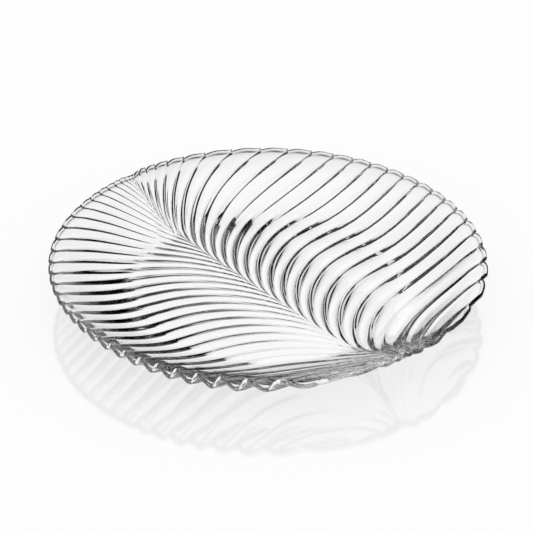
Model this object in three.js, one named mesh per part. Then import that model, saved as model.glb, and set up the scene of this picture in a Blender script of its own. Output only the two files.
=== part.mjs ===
// Pressed clear-glass serving plate: one moulding with a leaf pattern of scooped ribs.
// Units are millimetres. Z is up, the plate rests on Z = 0 and the plate's axis is the Z axis.
// The leaf's midrib runs parallel to Y with its tip toward +Y; the ribs sweep from it to the rim.

import * as THREE from 'three';
import { mergeVertices } from 'three/addons/utils/BufferGeometryUtils.js';

// Overall sizes
const rimRadius = 157.8;          // radius at which the ridges between the ribs reach the rim
const rimHeight = 32;             // height of those ridges at the rim
const wellThickness = 5.5;        // height of the ridges over the flat underside of the well
const rimThickness = 4.0;         // height of the glass edge at the rim
const edgeBulge = 1.7;            // how far the rounded edge stands out past the two faces

// Dish profile
const wallStart = 109;            // radius at which the floor of the dish turns up into the wall
const wallBlend = 11;             // softness of that turn
const footRadius = 100;           // radius of the flat face that the plate rests on
const underFrom = 98;             // radius at which the lobes under the wall begin
const underFull = 124;            // radius at which they are as deep as the scoops above them

// Leaf pattern
const midribOffset = 7.6;         // distance of the midrib from the plate's axis, toward -X
const leafScale = 156;            // length that the shares of the rib curve are multiplied by
const sweepRoot = 0.5164;         // rib curve: share that leaves the midrib along its length
const sweepLinear = 0.7635;       // rib curve: share that grows with the distance from the midrib
const sweepSquare = -1.4761;      // rib curve: share that turns the rib toward the rim
const sweepCube = 0.6186;         // rib curve: share that straightens the rib near the rim
const leftPitch = 12.0;           // rib spacing along the midrib on the -X side, at its middle rib
const leftGrowth = 0.0936;        // change of spacing from rib to rib on that side, halved
const leftStart = 155.7;          // position along the midrib from which the -X ribs are counted
const leftMiddle = 14;            // number of the middle rib on the -X side
const rightPitch = 15.5;          // the same four values for the +X side
const rightGrowth = 0.1716;
const rightStart = 64.2;
const rightMiddle = 8;
const leftLobe = 0.13;            // how far a -X rib stands out past the rim circle, as a share of its width
const rightLobe = 0.20;           // the same for a +X rib

// Scoops: depth of a rib as a share of its width
const leftScoop = 0.13;           // beside the midrib, on the -X side
const rightScoop = 0.38;          // beside the midrib, on the +X side
const leftWallScoop = 0.17;       // farther out, on the -X side
const rightWallScoop = 0.12;      // farther out, on the +X side
const leftTurnFrom = 70;          // distance from the midrib at which the -X scoops begin to change
const leftTurnTo = 115;           // distance from the midrib at which they have changed
const rightTurnFrom = 22;         // the same two distances for the +X scoops
const rightTurnTo = 52;
const edgeScoop = 0.10;           // at the edge, beside the tip
const leftEdgeMore = 0.38;        // what is added to that for the deepest -X ribs, toward the stem
const rightEdgeMore = 0.05;       // the same for the +X ribs
const deepestAlong = -165;        // position along the midrib of those ribs
const deepestSpread = 80;         // distance along the midrib over which that addition fades
const edgeScoopFrom = 140;        // radius from which they change to the rounded wave of the edge
const leftCalm = 0.9;             // share of the depth that the -X ribs lose beside the stem
const rightCalm = 0.4;            // the same for the +X ribs
const stemNear = 30;              // distance from the stem's end up to which it is lost in full
const stemFar = 90;               // distance from the stem's end at which the edge's wave loses nothing
const leftStemFar = 170;          // the same for the -X scoops
const rightStemFar = 90;          // the same for the +X scoops
const scoopPower = 3;             // fullness of the scoop's section
const leftTipPower = 3;           // the same on the tip side of the trough, beside the midrib
const rightTipPower = 1.5;
const leftTrough = 0.56;          // where across a rib the scoop is deepest, beside the midrib
const rightTrough = 0.30;
const wallTrough = 0.68;          // the same farther out; these three count from the rib's tip side
const edgePower = 1.8;            // sharpness of the low points of the edge's wave
const edgeTrough = 0.75;          // where across a rib the wave is lowest, counted from the tip side

// Mesh density
const columns = 8;                // spans from the midrib to the rim along one rib
const columnPower = 1.6;          // how much closer together they are at the midrib
const rimShare = 0.1;             // share of a rib's run that the span next to the rim takes
const tipRow = 0.29;              // place across a rib of the row of points on its tip side
const stemRow = 0.76;             // the same on its stem side
const rowGap = 0.5;               // rows of points closer together than this are joined into one

const sides = {
  left: {
    sign: -1, pitch: leftPitch, growth: leftGrowth, start: leftStart, middle: leftMiddle,
    scoop: leftScoop, wallScoop: leftWallScoop, turnFrom: leftTurnFrom, turnTo: leftTurnTo,
    trough: leftTrough, tipPower: leftTipPower, edgeMore: leftEdgeMore, lobe: leftLobe,
    calm: leftCalm, calmTo: leftStemFar,
  },
  right: {
    sign: 1, pitch: rightPitch, growth: rightGrowth, start: rightStart, middle: rightMiddle,
    scoop: rightScoop, wallScoop: rightWallScoop, turnFrom: rightTurnFrom, turnTo: rightTurnTo,
    trough: rightTrough, tipPower: rightTipPower, edgeMore: rightEdgeMore, lobe: rightLobe,
    calm: rightCalm, calmTo: rightStemFar,
  },
};
const tipAlong = Math.sqrt(rimRadius ** 2 - midribOffset ** 2);
const stemAlong = -tipAlong;

// Distance along the midrib that a rib has swept at a given distance away from it
function sweep(away) {
  const t = away / leafScale;
  return leafScale * (sweepRoot * Math.sqrt(t) + sweepLinear * t + sweepSquare * t ** 2 + sweepCube * t ** 3);
}

function sweepSlope(away) {
  const t = Math.max(away / leafScale, 1e-6);
  return sweepRoot / (2 * Math.sqrt(t)) + sweepLinear + 2 * sweepSquare * t + 3 * sweepCube * t ** 2;
}

// Position along the midrib of rib line n, and the rib number at a position
function ribPosition(side, n) {
  return side.start - side.pitch * n - side.growth * (n - side.middle) ** 2;
}

function ribNumber(side, along) {
  const b = side.pitch - 2 * side.growth * side.middle;
  const c = side.growth * side.middle ** 2 + along - side.start;
  return (-b + Math.sqrt(b ** 2 - 4 * side.growth * c)) / (2 * side.growth);
}

function ribPitch(side, along) {
  return side.pitch + 2 * side.growth * (ribNumber(side, along) - side.middle);
}

// Place across a rib, from nothing on the ridge toward the tip to one on the ridge toward the stem
function ribPlace(side, along) {
  const n = ribNumber(side, along);
  return Math.max(0, n - Math.floor(n + 1e-7));
}

// Distance from the deepest place of a section: nothing there, one on both ridges
function fromDeepest(place, low) {
  return place < low ? (low - place) / low : (place - low) / (1 - low);
}

// Scoop shape across a rib: nothing on the ridges, one in the trough
function scoop(side, along, turn) {
  const place = ribPlace(side, along);
  const trough = side.trough + (wallTrough - side.trough) * turn;
  const power = place < trough ? side.tipPower + (scoopPower - side.tipPower) * turn : scoopPower;
  return Math.max(0, 1 - fromDeepest(place, trough) ** power);
}

// The same for the rounded wave of the edge
function edgeWave(side, along) {
  return ((1 + Math.cos(Math.PI * fromDeepest(ribPlace(side, along), edgeTrough))) / 2) ** edgePower;
}

function ribWidth(side, along, away) {
  if (away <= 0) {
    return 0;
  }
  return ribPitch(side, along) / Math.sqrt(1 + sweepSlope(away) ** 2);
}

// Height of the ridges over the resting face at a radius
function softRamp(radius) {
  return wallBlend * Math.log1p(Math.exp((radius - wallStart) / wallBlend));
}

function ridgeHeight(radius) {
  const rise = (softRamp(radius) - softRamp(0)) / (softRamp(rimRadius) - softRamp(0));
  return wellThickness + (rimHeight - wellThickness) * rise;
}

function smoothStep(t) {
  const k = Math.min(1, Math.max(0, t));
  return k * k * (3 - 2 * k);
}

// Depth of the scoop under the ridges at a point of a rib line
function scoopDepth(side, along, away, radius) {
  const turn = smoothStep((away - side.turnFrom) / (side.turnTo - side.turnFrom));
  const edge = smoothStep((radius - edgeScoopFrom) / (rimRadius - edgeScoopFrom));
  const atEdge = edgeScoop + side.edgeMore * Math.exp(-(((along - deepestAlong) / deepestSpread) ** 2));
  const inside = side.scoop + (side.wallScoop - side.scoop) * turn;
  const fromStem = Math.hypot(away, along + sweep(away) - stemAlong);
  const left = (far) => 1 - side.calm * (1 - smoothStep((fromStem - stemNear) / (far - stemNear)));
  const scoops = inside * left(side.calmTo) * (1 - edge) * scoop(side, along, turn);
  const waves = atEdge * left(stemFar) * edge * edgeWave(side, along);
  return (scoops + waves) * ribWidth(side, along, away);
}

function topHeight(side, along, away, radius) {
  return ridgeHeight(radius) - scoopDepth(side, along, away, radius);
}

function underHeight(side, along, away, radius) {
  if (radius <= footRadius) {
    return 0;
  }
  const full = smoothStep((radius - underFrom) / (underFull - underFrom));
  const span = (radius - footRadius) / (rimRadius - footRadius);
  const footThickness = ridgeHeight(footRadius);
  const thickness = footThickness + (rimThickness - footThickness) * smoothStep(span);
  const lobe = scoopDepth(side, along, away, radius) * full;
  return Math.max(0, ridgeHeight(radius) - thickness - lobe);
}

function planPoint(side, along, away) {
  return new THREE.Vector2(-midribOffset + side.sign * away, along + sweep(away));
}

// Signed distance of a point of a rib line past the rim of that line
function pastRim(side, along, away) {
  const rim = rimRadius + side.lobe * ribPitch(side, along) * scoop(side, along, 1);
  return planPoint(side, along, away).length() - rim;
}

function crossing(side, along, inside, outside) {
  let a = inside;
  let b = outside;
  for (let i = 0; i < 60; i += 1) {
    const m = (a + b) / 2;
    if (pastRim(side, along, m) < 0) {
      a = m;
    } else {
      b = m;
    }
  }
  return a;
}

// Distance from the midrib at which a rib line lies deepest inside the rim
function deepest(side, along) {
  let best = 0;
  for (let i = 0; i <= 400; i += 1) {
    const away = (i / 400) ** 2 * 1.1 * rimRadius;
    if (pastRim(side, along, away) < pastRim(side, along, best)) {
      best = away;
    }
  }
  return best;
}

// Last position along the midrib whose rib line still cuts the plate on one side
function lastAlong(side) {
  let inside = stemAlong;
  let outside = stemAlong - rimRadius;
  for (let i = 0; i < 50; i += 1) {
    const m = (inside + outside) / 2;
    if (pastRim(side, m, deepest(side, m)) < 0) {
      inside = m;
    } else {
      outside = m;
    }
  }
  return inside;
}

// Rows of points follow rib lines: the ridges of both sides and both flanks of each scoop
function rowPositions() {
  const wanted = [];
  for (const side of [sides.left, sides.right]) {
    const first = Math.ceil(ribNumber(side, tipAlong));
    const last = Math.ceil(ribNumber(side, lastAlong(side)));
    for (let n = first; n <= last; n += 1) {
      wanted.push({ along: ribPosition(side, n), rank: 1 });
      wanted.push({ along: ribPosition(side, n - 1 + tipRow), rank: 2 });
      wanted.push({ along: ribPosition(side, n - 1 + stemRow), rank: 2 });
    }
  }
  const kept = [{ along: tipAlong, rank: 0 }, { along: stemAlong, rank: 0 }];
  wanted.sort((p, q) => p.rank - q.rank);
  for (const row of wanted) {
    const clear = kept.every((other) => Math.abs(other.along - row.along) > rowGap);
    if (clear && row.along < tipAlong) {
      kept.push(row);
    }
  }
  return kept.map((row) => row.along).sort((p, q) => q - p);
}

// One ring of points: along the top of a rib line, round the edge and back along the underside
function ring(side, along, from, to) {
  const top = [];
  const under = [];
  for (let j = 0; j <= columns; j += 1) {
    const share = j === columns ? 1 : (1 - rimShare) * (j / (columns - 1)) ** columnPower;
    const away = from + (to - from) * share;
    const p = planPoint(side, along, away);
    const radius = p.length();
    top.push(new THREE.Vector3(p.x, p.y, topHeight(side, along, away, radius)));
    under.push(new THREE.Vector3(p.x, p.y, underHeight(side, along, away, radius)));
  }
  const edge = (j) => {
    const middle = top[j].clone().add(under[j]).multiplyScalar(0.5);
    const grow = 1 + edgeBulge / Math.hypot(middle.x, middle.y);
    return new THREE.Vector3(middle.x * grow, middle.y * grow, middle.z);
  };
  const outer = edge(columns);
  const inner = edge(0);
  return [...top, outer, ...under.reverse(), inner];
}

function halfPlate(side, rows, triangles) {
  const end = lastAlong(side);
  const used = rows.filter((along) => along > end + rowGap);
  used.push(end);
  const rings = used.map((along) => {
    const middle = deepest(side, along);
    if (along === tipAlong) {
      return ring(side, along, 0, 0);
    }
    if (along === end) {
      return ring(side, along, middle, middle);
    }
    const from = along < stemAlong ? crossing(side, along, middle, 0) : 0;
    const to = crossing(side, along, middle, 1.2 * rimRadius);
    return ring(side, along, from, to);
  });
  const size = rings[0].length;
  for (let i = 0; i + 1 < used.length; i += 1) {
    const open = used[i + 1] >= stemAlong;
    const spans = open ? size - 2 : size;
    for (let j = 0; j < spans; j += 1) {
      const k = (j + 1) % size;
      const quad = [rings[i][j], rings[i][k], rings[i + 1][k], rings[i + 1][j]];
      const order = side.sign > 0 ? [0, 2, 1, 0, 3, 2] : [0, 1, 2, 0, 2, 3];
      for (const q of order) {
        triangles.push(quad[q].x, quad[q].y, quad[q].z);
      }
    }
  }
}

// Joins equal points and leaves out triangles that have shrunk to a line
function closedBody(triangles) {
  const loose = new THREE.BufferGeometry();
  loose.setAttribute('position', new THREE.Float32BufferAttribute(triangles, 3));
  const joined = mergeVertices(loose, 0.01);
  const index = joined.getIndex().array;
  const kept = [];
  for (let i = 0; i < index.length; i += 3) {
    const [a, b, c] = [index[i], index[i + 1], index[i + 2]];
    if (a !== b && b !== c && c !== a) {
      kept.push(a, b, c);
    }
  }
  joined.setIndex(kept);
  joined.computeVertexNormals();
  return joined;
}

const triangles = [];
const rows = rowPositions();
halfPlate(sides.left, rows, triangles);
halfPlate(sides.right, rows, triangles);

const glass = new THREE.MeshStandardMaterial({ color: 0xeaf1f2, roughness: 0.05, metalness: 0 });
const plate = new THREE.Mesh(closedBody(triangles), glass);
plate.name = 'plate';

const group = new THREE.Group();
group.name = 'crystal_serving_plate';
group.add(plate);

export default group;
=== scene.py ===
import math

import bmesh
import bpy
import numpy as np
from mathutils import Matrix, Vector


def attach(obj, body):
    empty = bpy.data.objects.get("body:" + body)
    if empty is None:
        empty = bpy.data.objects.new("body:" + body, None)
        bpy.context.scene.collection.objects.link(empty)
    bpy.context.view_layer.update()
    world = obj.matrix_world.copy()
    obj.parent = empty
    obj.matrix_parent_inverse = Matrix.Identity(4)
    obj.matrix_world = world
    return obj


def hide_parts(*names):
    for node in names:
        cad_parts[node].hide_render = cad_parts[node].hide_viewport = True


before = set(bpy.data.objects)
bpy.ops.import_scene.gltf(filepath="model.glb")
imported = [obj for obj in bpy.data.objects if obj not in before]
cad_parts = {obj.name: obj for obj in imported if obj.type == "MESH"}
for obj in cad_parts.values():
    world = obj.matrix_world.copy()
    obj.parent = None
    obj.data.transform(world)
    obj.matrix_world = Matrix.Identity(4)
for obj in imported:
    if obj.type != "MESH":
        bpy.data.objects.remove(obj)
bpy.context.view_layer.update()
print("frame loaded", list(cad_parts))

millimetre = 0.001
lightBounces = 40                # light runs a long way round inside the rim before it leaves the glass

scene = bpy.context.scene
scene.view_settings.view_transform = "Standard"
scene.cycles.max_bounces = lightBounces
scene.cycles.transmission_bounces = lightBounces
scene.cycles.glossy_bounces = lightBounces

# The plate, in millimetres: a leaf whose ribs sweep from a midrib to the rim
plate = {
    "rimRadius": 157.8,
    "leafScale": 156.0,
    "rimHeight": 32.0,
    "wellThickness": 5.5,
    "rimThickness": 4.0,
    "edgeBulge": 1.7,
    "wallStart": 109.0,
    "wallBlend": 11.0,
    "footRadius": 100.0,
    "underFrom": 98.0,           # the underside starts to follow the scoops here
    "underFull": 124.0,
    "midribOffset": 7.6,
    "sweep": (0.5164, 0.7635, -1.4761, 0.6186),
    "scoopPower": 3.0,
    "wallTrough": 0.68,          # where across a rib its scoop is deepest in the wall, from the tip side
    "scoopLeast": 0.10,          # the rim's wave, as a share of a rib's width
    "scoopPeakAt": -165.0,
    "scoopPeakSpread": 80.0,
    "stemCalmNear": 30.0,
    "stemCalmFar": 90.0,
    "edgeScoopFrom": 140.0,
    "edgeTrough": 0.75,
    "edgePower": 1.3,
    "crestRound": 0.05,          # share of a half rib that the ridge's rounding takes
    "lipRise": 1.7,              # the fire-polished lip stands this much over the groove inside it
    "lipFrom": 1.8,
    "lipFull": 0.4,
    "grooveFrom": 12.0,
    "lobeJoin": 10.0,            # the rim has no lobes at the midrib, and all of them this far from it
    "endGap": 4.0,               # no row starts this close past the tip or the stem, where rows would pinch
}

# How finely the plate's surface is divided
grid = {
    "topSpans": 36,
    "underSpans": 19,
    "edgeSpans": 6,
    "spanPower": 1.6,            # spans are shorter near the midrib, where the ribs bend most
    "lipColumns": (8.0, 5.5, 3.6, 2.3, 1.6, 1.3, 1.1, 0.9, 0.7, 0.5, 0.3),  # distances inside the rim
    "underColumns": (0, 1, 2, 3, 6, -1),                                    # those that the underside has too
    "steps": (0.0, 0.3, 0.57, 0.78, 0.91, 0.97),  # rows between a rib's middle and its ridge
    "rowGap": 0.12,
    "ridgeGap": 0.01,
    "lastGap": 0.3,
    "awaySamples": 600,
    "searchReach": 1.1,          # how far out to look, in rim radii
    "crossReach": 1.2,
    "rimHalvings": 50,
    "endHalvings": 40,
    "leastAway": 1e-6,
    "pastStem": 1e-9,
    "mergeWithin": 2e-7,         # metres
    "shortEdge": 1e-7,
}

leftRibs = {
    "sign": -1.0,
    "pitch": 12.0, "growth": 0.0936, "start": 155.7, "middle": 14.0,
    "scoop": 0.13, "wallScoop": 0.14, "turnFrom": 70.0, "turnTo": 115.0,
    "edgeMore": 0.38, "lobe": 0.13,
    "calm": 0.75, "calmTo": 170.0,
    "trough": 0.56, "tipPower": 3.0,
}
rightRibs = {
    "sign": 1.0,
    "pitch": 15.5, "growth": 0.1716, "start": 64.2, "middle": 8.0,
    "scoop": 0.38, "wallScoop": 0.12, "turnFrom": 26.0, "turnTo": 64.0,
    "edgeMore": 0.05, "lobe": 0.20,
    "calm": 0.4, "calmTo": 90.0,
    "trough": 0.36, "tipPower": 1.2,
}
tipAlong = math.sqrt(plate["rimRadius"] ** 2 - plate["midribOffset"] ** 2)
stemAlong = -tipAlong


def smoothStep(t):  # 0 to 1 with level ends: 3 t^2 - 2 t^3
    k = np.clip(t, 0, 1)
    return k * k * (3 - 2 * k)


# A rib's run along the midrib: root, first, second and third power of the distance away from it
def sweepAlong(away):
    t = away / plate["leafScale"]
    a, b, c, d = plate["sweep"]
    return plate["leafScale"] * (a * np.sqrt(t) + b * t + c * t ** 2 + d * t ** 3)


def sweepSlope(away):  # the slope of that run
    t = np.maximum(away / plate["leafScale"], grid["leastAway"])
    a, b, c, d = plate["sweep"]
    return a / (2 * np.sqrt(t)) + b + 2 * c * t + 3 * d * t ** 2


def ribPosition(ribs, n):  # ribs lie at start - pitch n - growth (n - middle)^2
    return ribs["start"] - ribs["pitch"] * n - ribs["growth"] * (n - ribs["middle"]) ** 2


def ribNumber(ribs, along):  # the same, solved for n
    b = ribs["pitch"] - 2 * ribs["growth"] * ribs["middle"]
    c = ribs["growth"] * ribs["middle"] ** 2 + along - ribs["start"]
    return (-b + np.sqrt(b ** 2 - 4 * ribs["growth"] * c)) / (2 * ribs["growth"])


def ribPitch(ribs, along):  # pitch + 2 growth (n - middle)
    return ribs["pitch"] + 2 * ribs["growth"] * (ribNumber(ribs, along) - ribs["middle"])


def ribWidth(ribs, along, away):  # the pitch, measured square to the rib's run
    return np.where(away > 0, ribPitch(ribs, along) / np.sqrt(1 + sweepSlope(away) ** 2), 0.0)


# A scoop across a rib: two powers, 1 - a^p, that meet in the trough, with the cusp on the ridge rounded off
def scoopShape(ribs, along, wall):
    n = ribNumber(ribs, along)
    v = n - np.floor(n)
    c = ribs["trough"] + (plate["wallTrough"] - ribs["trough"]) * wall
    tipSide = ribs["tipPower"] + (plate["scoopPower"] - ribs["tipPower"]) * wall
    p = np.where(v < c, tipSide, plate["scoopPower"])
    a = np.where(v < c, (c - v) / c, (v - c) / (1 - c))
    w = plate["crestRound"]
    k = p * (1 - w) ** (p - 1) / (2 * w)
    return np.where(a < 1 - w, 1 - a ** p, 1 - (1 - w) ** p - k * w ** 2 + k * (1 - a) ** 2)


def waveShape(ribs, along):  # the rounded wave that a rib makes at the rim: half of 1 + cos, to a power
    n = ribNumber(ribs, along)
    v, c = n - np.floor(n), plate["edgeTrough"]
    a = np.where(v < c, (c - v) / c, (v - c) / (1 - c))
    return ((1 + np.cos(np.pi * a)) / 2) ** plate["edgePower"]


def ridgeHeight(radius):  # a soft ramp, log(1 + e^r), from the floor of the dish up to the rim
    ramp = lambda r: plate["wallBlend"] * np.log1p(np.exp((r - plate["wallStart"]) / plate["wallBlend"]))
    rise = (ramp(radius) - ramp(0.0)) / (ramp(plate["rimRadius"]) - ramp(0.0))
    return plate["wellThickness"] + (plate["rimHeight"] - plate["wellThickness"]) * rise


def planPoint(ribs, along, away):  # across: distance away from the midrib; lengthways: along plus the sweep
    return -plate["midribOffset"] + ribs["sign"] * away, along + sweepAlong(away)


# Distance past the rim: each scoop bulges it, and both halves share a plain rim where they meet
def pastRim(ribs, along, away):
    apart = smoothStep(away / plate["lobeJoin"])
    bulge = apart * ribs["lobe"] * ribPitch(ribs, along) * scoopShape(ribs, along, 1.0)
    return np.hypot(*planPoint(ribs, along, away)) - (plate["rimRadius"] + bulge)


# Where a rib line meets the rim, or a distance short of it: halving between a point inside and one outside
def rimCrossing(ribs, along, inside, outside, short=0.0):
    for _ in range(grid["rimHalvings"]):
        middle = (inside + outside) / 2
        within = pastRim(ribs, along, middle) < -short
        inside = np.where(within, middle, inside)
        outside = np.where(within, outside, middle)
    return inside


def deepestAway(ribs, along):  # where a rib line lies deepest inside the rim
    away = np.linspace(0, 1, grid["awaySamples"]) ** 2 * grid["searchReach"] * plate["rimRadius"]
    gap = pastRim(ribs, along[:, None], away[None, :])
    return away[np.argmin(gap, 1)]


def lastAlong(ribs):  # the last rib line beside the stem that still cuts the plate
    inside, outside = stemAlong, stemAlong - plate["rimRadius"]
    for _ in range(grid["endHalvings"]):
        middle = (inside + outside) / 2
        at = np.array([middle])
        if pastRim(ribs, at, deepestAway(ribs, at))[0] < 0:
            inside = middle
        else:
            outside = middle
    return inside


def rowPositions():  # rows follow the ridges of both halves, with finer steps close to each ridge
    ridges, between = [np.array([tipAlong, stemAlong])], []
    for ribs in (leftRibs, rightRibs):
        first = math.ceil(float(ribNumber(ribs, tipAlong)))
        last = math.ceil(float(ribNumber(ribs, lastAlong(ribs))))
        n = np.arange(first, last + 1)
        ridges.append(ribPosition(ribs, n))
        a = np.array(grid["steps"])
        v = np.concatenate([0.5 * (1 - a), 0.5 + 0.5 * a[1:]])
        between.append(ribPosition(ribs, n[:, None] - 1 + v[None, :]).ravel())
    ridges = np.sort(np.concatenate(ridges))
    between = np.sort(np.concatenate(between))
    at = np.clip(np.searchsorted(ridges, between), 1, len(ridges) - 1)
    near = np.minimum(np.abs(between - ridges[at]), np.abs(between - ridges[at - 1]))
    between = between[near > grid["rowGap"]]
    between = between[np.concatenate([[True], np.diff(between) > grid["rowGap"]])]
    rows = np.sort(np.concatenate([ridges, between]))[::-1]
    rows = rows[np.concatenate([[True], -np.diff(rows) > grid["ridgeGap"]])]
    nearTip = (rows < tipAlong) & (rows > tipAlong - plate["endGap"])
    nearStem = (rows < stemAlong) & (rows > stemAlong - plate["endGap"])
    return rows[(rows <= tipAlong) & ~nearTip & ~nearStem]


# Top: the ridges' ramp less the scoops, less the wave at the rim, less the groove inside the lip.
# Underside: flat out to the foot, then the ramp less the glass thickness, following the scoops in the wall.
def heights(ribs, along, away):
    x, y = planPoint(ribs, along, away)
    radius = np.hypot(x, y)
    ridge = ridgeHeight(radius)
    wall = smoothStep((away - ribs["turnFrom"]) / (ribs["turnTo"] - ribs["turnFrom"]))
    edge = smoothStep((radius - plate["edgeScoopFrom"]) / (plate["rimRadius"] - plate["edgeScoopFrom"]))

    # The scoops and the wave grow calm toward the stem
    stem = np.hypot(x + plate["midribOffset"], y - stemAlong) - plate["stemCalmNear"]
    calmed = lambda far: 1 - ribs["calm"] * (1 - smoothStep(stem / (far - plate["stemCalmNear"])))
    scoopRatio = ribs["scoop"] + (ribs["wallScoop"] - ribs["scoop"]) * wall
    scoops = scoopRatio * calmed(ribs["calmTo"]) * (1 - edge) * scoopShape(ribs, along, wall)
    peak = np.exp(-((along - plate["scoopPeakAt"]) / plate["scoopPeakSpread"]) ** 2)
    waveRatio = plate["scoopLeast"] + ribs["edgeMore"] * peak
    waves = waveRatio * calmed(plate["stemCalmFar"]) * edge * waveShape(ribs, along)
    depth = (scoops + waves) * ribWidth(ribs, along, away)

    gap = -pastRim(ribs, along, away)
    lip = smoothStep((plate["lipFrom"] - gap) / (plate["lipFrom"] - plate["lipFull"]))
    groove = smoothStep((plate["grooveFrom"] - gap) / (plate["grooveFrom"] - plate["lipFrom"])) * (1 - lip)
    top = ridge - depth - plate["lipRise"] * groove

    span = (radius - plate["footRadius"]) / (plate["rimRadius"] - plate["footRadius"])
    foot = ridgeHeight(plate["footRadius"])
    thick = foot + (plate["rimThickness"] - foot) * smoothStep(span)
    follow = smoothStep((radius - plate["underFrom"]) / (plate["underFull"] - plate["underFrom"]))
    under = np.maximum(0, ridge - thick - depth * follow)
    return top, np.where(radius <= plate["footRadius"], 0.0, under)


def roundEdge(a, b):  # half an ellipse from the top face's end to the underside's
    angle = np.linspace(0, math.pi, grid["edgeSpans"] + 1)[1:-1]
    middle, half = (a + b) / 2, (a[:, 2] - b[:, 2]) / 2
    out = a[:, :2] / np.linalg.norm(a[:, :2], axis=1)[:, None]
    bulge = plate["edgeBulge"] * np.sin(angle)
    flat = a[:, None, :2] + out[:, None, :] * bulge[None, :, None]
    level = middle[:, None, 2] + half[:, None] * np.cos(angle)
    return np.concatenate([flat, level[:, :, None]], 2)


def halfPlate(ribs, rows):  # one half as rings: along the top of a rib line, round the edge and back underneath
    end = lastAlong(ribs)
    along = np.append(rows[rows > end + grid["lastGap"]], end)
    pastStem = along < stemAlong - grid["pastStem"]
    deepest = deepestAway(ribs, along)
    outward = deepest * 0 + grid["crossReach"] * plate["rimRadius"]
    start = np.where(pastStem, rimCrossing(ribs, along, deepest, deepest * 0), 0.0)
    stop = rimCrossing(ribs, along, deepest, outward)
    start[-1] = stop[-1] = deepest[-1]
    stop[0] = 0.0
    lip = [rimCrossing(ribs, along, deepest, outward, g) for g in grid["lipColumns"]]
    lip = np.clip(np.stack(lip + [stop], 1), start[:, None], stop[:, None])

    def strip(spans, near):  # growing steps up to the lip's first column, then the columns near the rim
        t = np.linspace(0, 1, spans + 1) ** grid["spanPower"]
        away = start[:, None] + (near[:, 0] - start)[:, None] * t[None, :]
        away = np.concatenate([away, near[:, 1:]], 1)
        x, y = planPoint(ribs, along[:, None], away)
        return x, y, *heights(ribs, along[:, None], away)

    x, y, top, _ = strip(grid["topSpans"], lip)
    upper = np.stack([x, y, top], -1)
    x, y, _, under = strip(grid["underSpans"], lip[:, list(grid["underColumns"])])
    lower = np.stack([x, y, under], -1)
    outer = roundEdge(upper[:, -1], lower[:, -1])
    inner = roundEdge(lower[:, 0] * [1, 1, 0] + upper[:, 0] * [0, 0, 1], lower[:, 0])[:, ::-1]
    rings = np.concatenate([upper, outer, lower[:, ::-1], inner], 1)

    count, size = rings.shape[:2]
    i, j = np.meshgrid(np.arange(count - 1), np.arange(size), indexing="ij")
    k = (j + 1) % size
    openAt = size - inner.shape[1] - 1       # the joint at the midrib has no wall
    keep = (j < openAt) | pastStem[1:, None]
    quads = np.stack([i * size + j, i * size + k, (i + 1) * size + k, (i + 1) * size + j], -1)[keep]
    if ribs["sign"] > 0:
        quads = quads[:, ::-1]
    return rings.reshape(-1, 3), quads


def makePlate():
    rows = rowPositions()
    points, faces = [], []
    for ribs in (leftRibs, rightRibs):
        p, q = halfPlate(ribs, rows)
        faces.append(q + sum(len(v) for v in points))
        points.append(p)
    points = np.concatenate(points) * millimetre
    faces = np.concatenate(faces)
    mesh = bpy.data.meshes.new("leafPlate")
    mesh.from_pydata(points.tolist(), [], faces.tolist())
    work = bmesh.new()
    work.from_mesh(mesh)
    bmesh.ops.remove_doubles(work, verts=work.verts, dist=grid["mergeWithin"])
    bmesh.ops.dissolve_degenerate(work, edges=work.edges, dist=grid["shortEdge"])
    bmesh.ops.recalc_face_normals(work, faces=work.faces)
    openEdges = sum(1 for e in work.edges if not e.is_manifold)
    work.to_mesh(mesh)
    work.free()
    mesh.polygons.foreach_set("use_smooth", np.ones(len(mesh.polygons), bool))
    print("plate rows", len(rows), "faces", len(mesh.polygons), "open edges", openEdges)
    obj = bpy.data.objects.new("leafPlate", mesh)
    scene.collection.objects.link(obj)
    return obj


class Sock:  # a node's output that can be used in sums
    def __init__(self, tree, link):
        self.tree, self.link = tree, link

    @classmethod
    def add(cls, tree, kind, settings, inputs, out=0):
        made = tree.nodes.new(kind)
        for name, value in settings.items():
            setattr(made, name, value)
        for name, value in inputs.items():
            if isinstance(value, Sock):
                tree.links.new(value.link, made.inputs[name])
            else:
                made.inputs[name].default_value = value
        return cls(tree, made.outputs[out]) if made.outputs else None

    def math(self, kind, a, b, clamp=False):
        return self.add(self.tree, "ShaderNodeMath", {"operation": kind, "use_clamp": clamp}, {0: a, 1: b})

    def __add__(self, other): return self.math("ADD", self, other)
    def __radd__(self, other): return self.math("ADD", other, self)
    def __sub__(self, other): return self.math("SUBTRACT", self, other)
    def __rsub__(self, other): return self.math("SUBTRACT", other, self)
    def __mul__(self, other): return self.math("MULTIPLY", self, other)
    def __rmul__(self, other): return self.math("MULTIPLY", other, self)
    def larger(self, other): return self.math("MAXIMUM", self, other)
    def smaller(self, other): return self.math("MINIMUM", self, other)
    def above(self, other): return self.math("GREATER_THAN", self, other)
    def beyond(self, other): return self.math("SUBTRACT", self, other, True)  # kept between 0 and 1

    def ease(self, low, high, ends=(0.0, 1.0)):  # a smooth step between two values
        return self.add(self.tree, "ShaderNodeMapRange", {"interpolation_type": "SMOOTHSTEP"},
                        {"Value": self, "From Min": low, "From Max": high, "To Min": ends[0], "To Max": ends[1]})


def emptyTree(owner):
    owner.use_nodes = True
    owner.node_tree.nodes.clear()
    return owner.node_tree


def lightPath(tree):  # gives what a Light Path node says, by name
    return lambda name: Sock.add(tree, "ShaderNodeLightPath", {}, {}, name)


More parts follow.
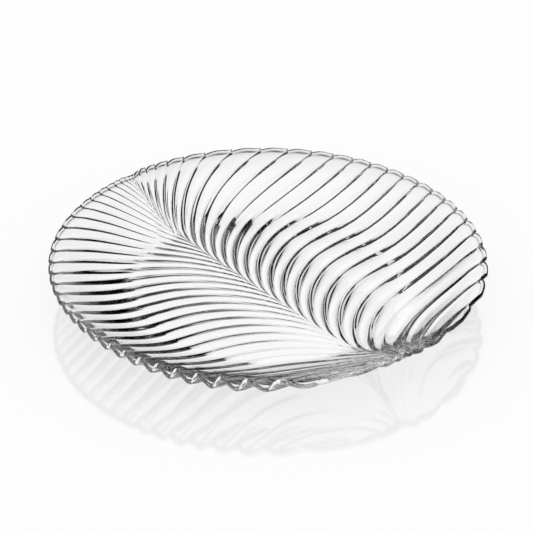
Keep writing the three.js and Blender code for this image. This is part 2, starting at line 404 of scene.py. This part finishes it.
# Clear pressed glass: faint moulding ripples and a little unevenness in its polish
glass = {
    "ior": 1.52,
    "tint": (0.985, 0.992, 0.99, 1),
    "ripple": 0.02, "rippleDepth": 0.001, "rippleScale": 55.0, "rippleDetail": 2.0,
    "haze": 0.02, "hazeLeast": 0.002, "hazeScale": 18.0, "hazeDetail": 3.0,
}


def glassMaterial():
    mat = bpy.data.materials.new("clearPressedGlass")
    tree = emptyTree(mat)
    spot = Sock.add(tree, "ShaderNodeTexCoord", {}, {}, "Object")
    wave = Sock.add(tree, "ShaderNodeTexNoise", {},
                    {"Vector": spot, "Scale": glass["rippleScale"], "Detail": glass["rippleDetail"]})
    haze = Sock.add(tree, "ShaderNodeTexNoise", {},
                    {"Vector": spot, "Scale": glass["hazeScale"], "Detail": glass["hazeDetail"]})
    bump = Sock.add(tree, "ShaderNodeBump", {},
                    {"Height": wave, "Strength": glass["ripple"], "Distance": glass["rippleDepth"]})
    shade = Sock.add(tree, "ShaderNodeBsdfPrincipled", {}, {
        "Base Color": glass["tint"], "Roughness": haze * glass["haze"] + glass["hazeLeast"],
        "IOR": glass["ior"], "Transmission Weight": 1.0, "Normal": bump})
    Sock.add(tree, "ShaderNodeOutputMaterial", {}, {"Surface": shade})
    return mat


plateObject = makePlate()
plateObject.data.materials.append(glassMaterial())
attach(plateObject, "root")
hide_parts("plate")
print("plate made")

# Stage: a glossy white floor with a weak mirror and a soft shadow
stage = {
    "floorSize": 6.0,
    "floorDrop": 0.0004,
    "floorWhite": (1, 1, 1, 1),
    "shadow": 0.15,              # share of the floor that is lit and shaded like paper
    "mirror": 0.13,
    "mirrorBlur": 0.09,
    "whiteTo": 0.165,            # seen by the glass, the floor is white to here and dark from darkFrom on
    "darkFrom": 0.30,
    "turnedFrom": 1.0,           # the floor is dark to rays reflected more often than this
    "deepFrom": 20.5,            # and white again to rays that have run round in the rim this long
}


def makeFloor():
    half, low = stage["floorSize"] / 2, -stage["floorDrop"]
    corners = [(-half, -half, low), (half, -half, low), (half, half, low), (-half, half, low)]
    mesh = bpy.data.meshes.new("floor")
    mesh.from_pydata(corners, [], [(0, 1, 2, 3)])
    obj = bpy.data.objects.new("floor", mesh)
    scene.collection.objects.link(obj)
    mat = bpy.data.materials.new("glossyWhiteFloor")
    tree = emptyTree(mat)
    path = lightPath(tree)
    camera = path("Is Camera Ray")
    seen = camera.larger(path("Is Transmission Ray")).larger(path("Is Glossy Ray"))
    spot = Sock.add(tree, "ShaderNodeTexCoord", {}, {}, "Object")
    away = Sock.add(tree, "ShaderNodeVectorMath", {"operation": "LENGTH"}, {0: spot}, "Value")
    turns = path("Glossy Depth")
    pale = away.ease(stage["whiteTo"], stage["darkFrom"], (1.0, 0.0)) * (1.0 - turns.beyond(stage["turnedFrom"]))
    pale = pale.larger(turns.above(stage["deepFrom"])).larger(camera)
    white = Sock.add(tree, "ShaderNodeEmission", {}, {"Color": stage["floorWhite"], "Strength": pale})
    paper = Sock.add(tree, "ShaderNodeBsdfDiffuse", {}, {"Color": stage["floorWhite"]})
    mirror = Sock.add(tree, "ShaderNodeBsdfGlossy", {},
                      {"Color": stage["floorWhite"], "Roughness": stage["mirrorBlur"]})
    base = Sock.add(tree, "ShaderNodeMixShader", {}, {0: seen - camera * stage["shadow"], 1: paper, 2: white})
    both = Sock.add(tree, "ShaderNodeMixShader", {}, {0: camera * stage["mirror"], 1: base, 2: mirror})
    Sock.add(tree, "ShaderNodeOutputMaterial", {}, {"Surface": both})
    mesh.materials.append(mat)


makeFloor()

# Light: white for the camera and for the floor's shading, a soft patch overhead and a round card behind the
# plate for reflections on the glass, and only the middle of that card for light that comes through the glass
light = {
    "overFrom": 0.75, "overTo": 0.97,
    "cardTilt": 0.5674, "cardTurn": math.radians(50.17),
    "cardFrom": 0.90, "cardTo": 0.97,
    "coreFrom": 0.98, "coreTo": 0.992, "core": 0.8,
}


def makeWorld():
    world = bpy.data.worlds.new("studio")
    scene.world = world
    tree = emptyTree(world)
    path = lightPath(tree)
    way = Sock.add(tree, "ShaderNodeTexCoord", {}, {}, "Generated")
    up = Sock.add(tree, "ShaderNodeSeparateXYZ", {}, {0: way}, "Z")
    e, a = light["cardTilt"], light["cardTurn"]
    toCard = (math.cos(e) * math.cos(a), math.cos(e) * math.sin(a), math.sin(e))
    near = Sock.add(tree, "ShaderNodeVectorMath", {"operation": "DOT_PRODUCT"}, {0: way, 1: toCard}, "Value")
    outside = up.ease(light["overFrom"], light["overTo"]).larger(near.ease(light["cardFrom"], light["cardTo"]))
    core = near.ease(light["coreFrom"], light["coreTo"])
    through = path("Transmission Depth").smaller(1.0)
    level = outside * (1.0 - through) + core * through * light["core"]
    level = level.larger(path("Is Camera Ray")).larger(path("Is Diffuse Ray"))
    level = level.larger(path("Glossy Depth").above(stage["deepFrom"]))
    sky = Sock.add(tree, "ShaderNodeBackground", {}, {"Color": (1, 1, 1, 1), "Strength": level})
    Sock.add(tree, "ShaderNodeOutputWorld", {}, {"Surface": sky})


makeWorld()
print("stage and light made")

# Camera: a long lens from the front left, tip of the leaf away from it
view = {
    "azimuth": math.radians(-39.83),
    "elevation": 0.5674,
    "roll": 0.0046,
    "distance": 1.4817,
    "target": (0.0130, 0.01584, 0.008),
    "focalPixels": 1964.35,
    "imagePixels": 533.0,
    "sensor": 36.0,
    "clipEnd": 50.0,
}


def makeCamera():
    a, e = view["azimuth"], view["elevation"]
    back = Vector((math.sin(a) * math.cos(e), -math.cos(a) * math.cos(e), math.sin(e)))
    right = Vector((math.cos(a), math.sin(a), 0))
    up = back.cross(right)
    c, s = math.cos(view["roll"]), math.sin(view["roll"])
    sideways, upright = right * c + up * s, up * c - right * s
    data = bpy.data.cameras.new("photoCamera")
    data.sensor_width = view["sensor"]
    data.lens = view["focalPixels"] * view["sensor"] / view["imagePixels"]
    data.clip_end = view["clipEnd"]
    cam = bpy.data.objects.new("photoCamera", data)
    scene.collection.objects.link(cam)
    place = Vector(view["target"]) + back * view["distance"]
    cam.matrix_world = Matrix(((sideways.x, upright.x, back.x, place.x),
                               (sideways.y, upright.y, back.y, place.y),
                               (sideways.z, upright.z, back.z, place.z),
                               (0, 0, 0, 1)))
    scene.camera = cam


makeCamera()
print("camera placed")
